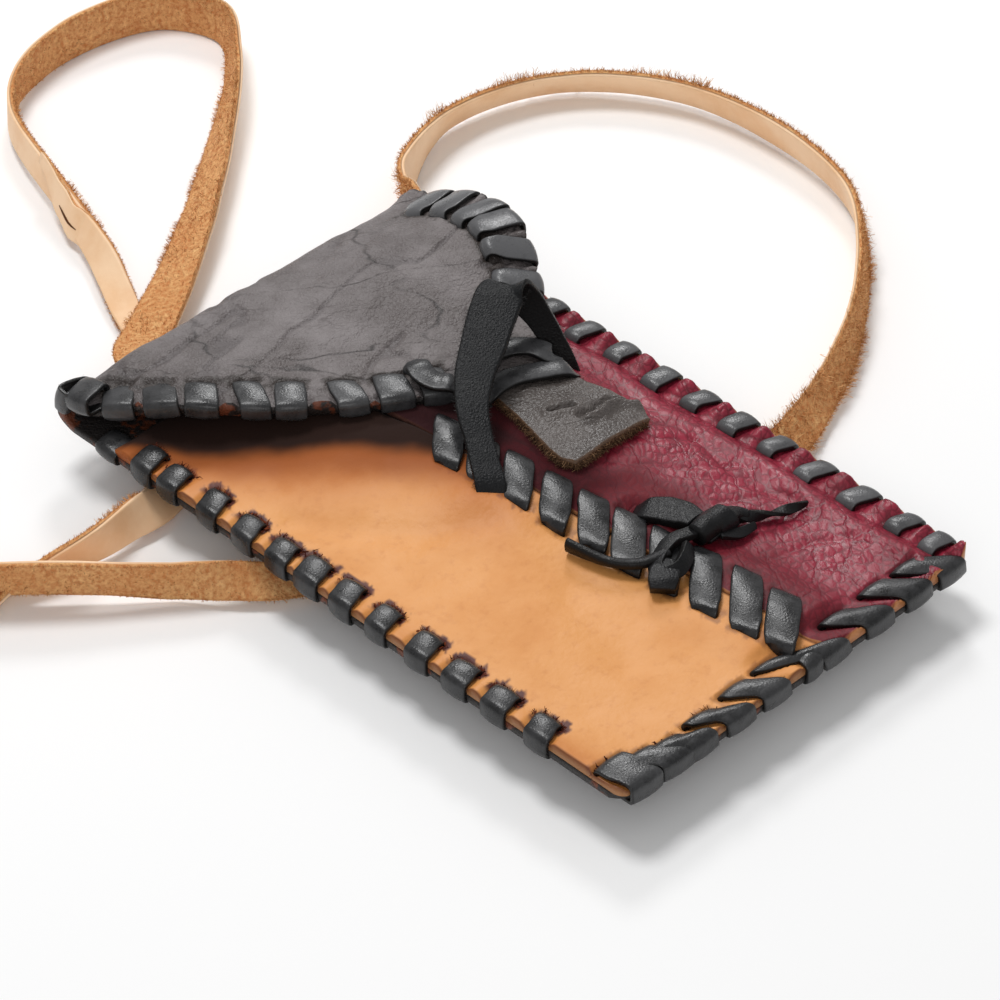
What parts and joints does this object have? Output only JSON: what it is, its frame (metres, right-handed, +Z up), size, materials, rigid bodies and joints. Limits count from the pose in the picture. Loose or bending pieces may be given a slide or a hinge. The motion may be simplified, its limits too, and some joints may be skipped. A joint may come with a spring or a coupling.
{
  "type": "leather phone bag",
  "caption": "Hand-laced leather phone pouch lying on its back, with a folded flap, a tongue held under a loop, and a long leather neck strap.",
  "frame": {"origin": "on the surface it lies on, under the middle of the pouch, where its strap passes flat", "axes": "+Y along the pouch to its folded top, +Z up out of the front, +X to the burgundy side"},
  "size_m": [0.2667, 0.279, 0.0338],
  "materials": {
    "charcoal_leather": "creased, soft sheen",
    "tan_leather": "smooth, soft sheen",
    "burgundy_leather": "pebbled, soft sheen",
    "black_lace": "satin",
    "black_leather": "fine pebble, matt",
    "strap_leather": "smooth on one face, suede on the other"
  },
  "bodies": {
    "root": {"back_and_flap": "charcoal_leather", "tan_front_panel": "tan_leather", "burgundy_front_panel": "burgundy_leather", "left_edge_lace": "black_lace", "right_edge_lace": "black_lace", "bottom_edge_lace": "black_lace", "seam_lace": "black_lace", "flap_left_lace": "black_lace", "flap_right_lace": "black_lace", "closing_loop": "black_leather", "right_lace_tie": "black_lace", "left_lace_tie": "black_lace", "strap": "strap_leather"}
  },
  "joints": []
}
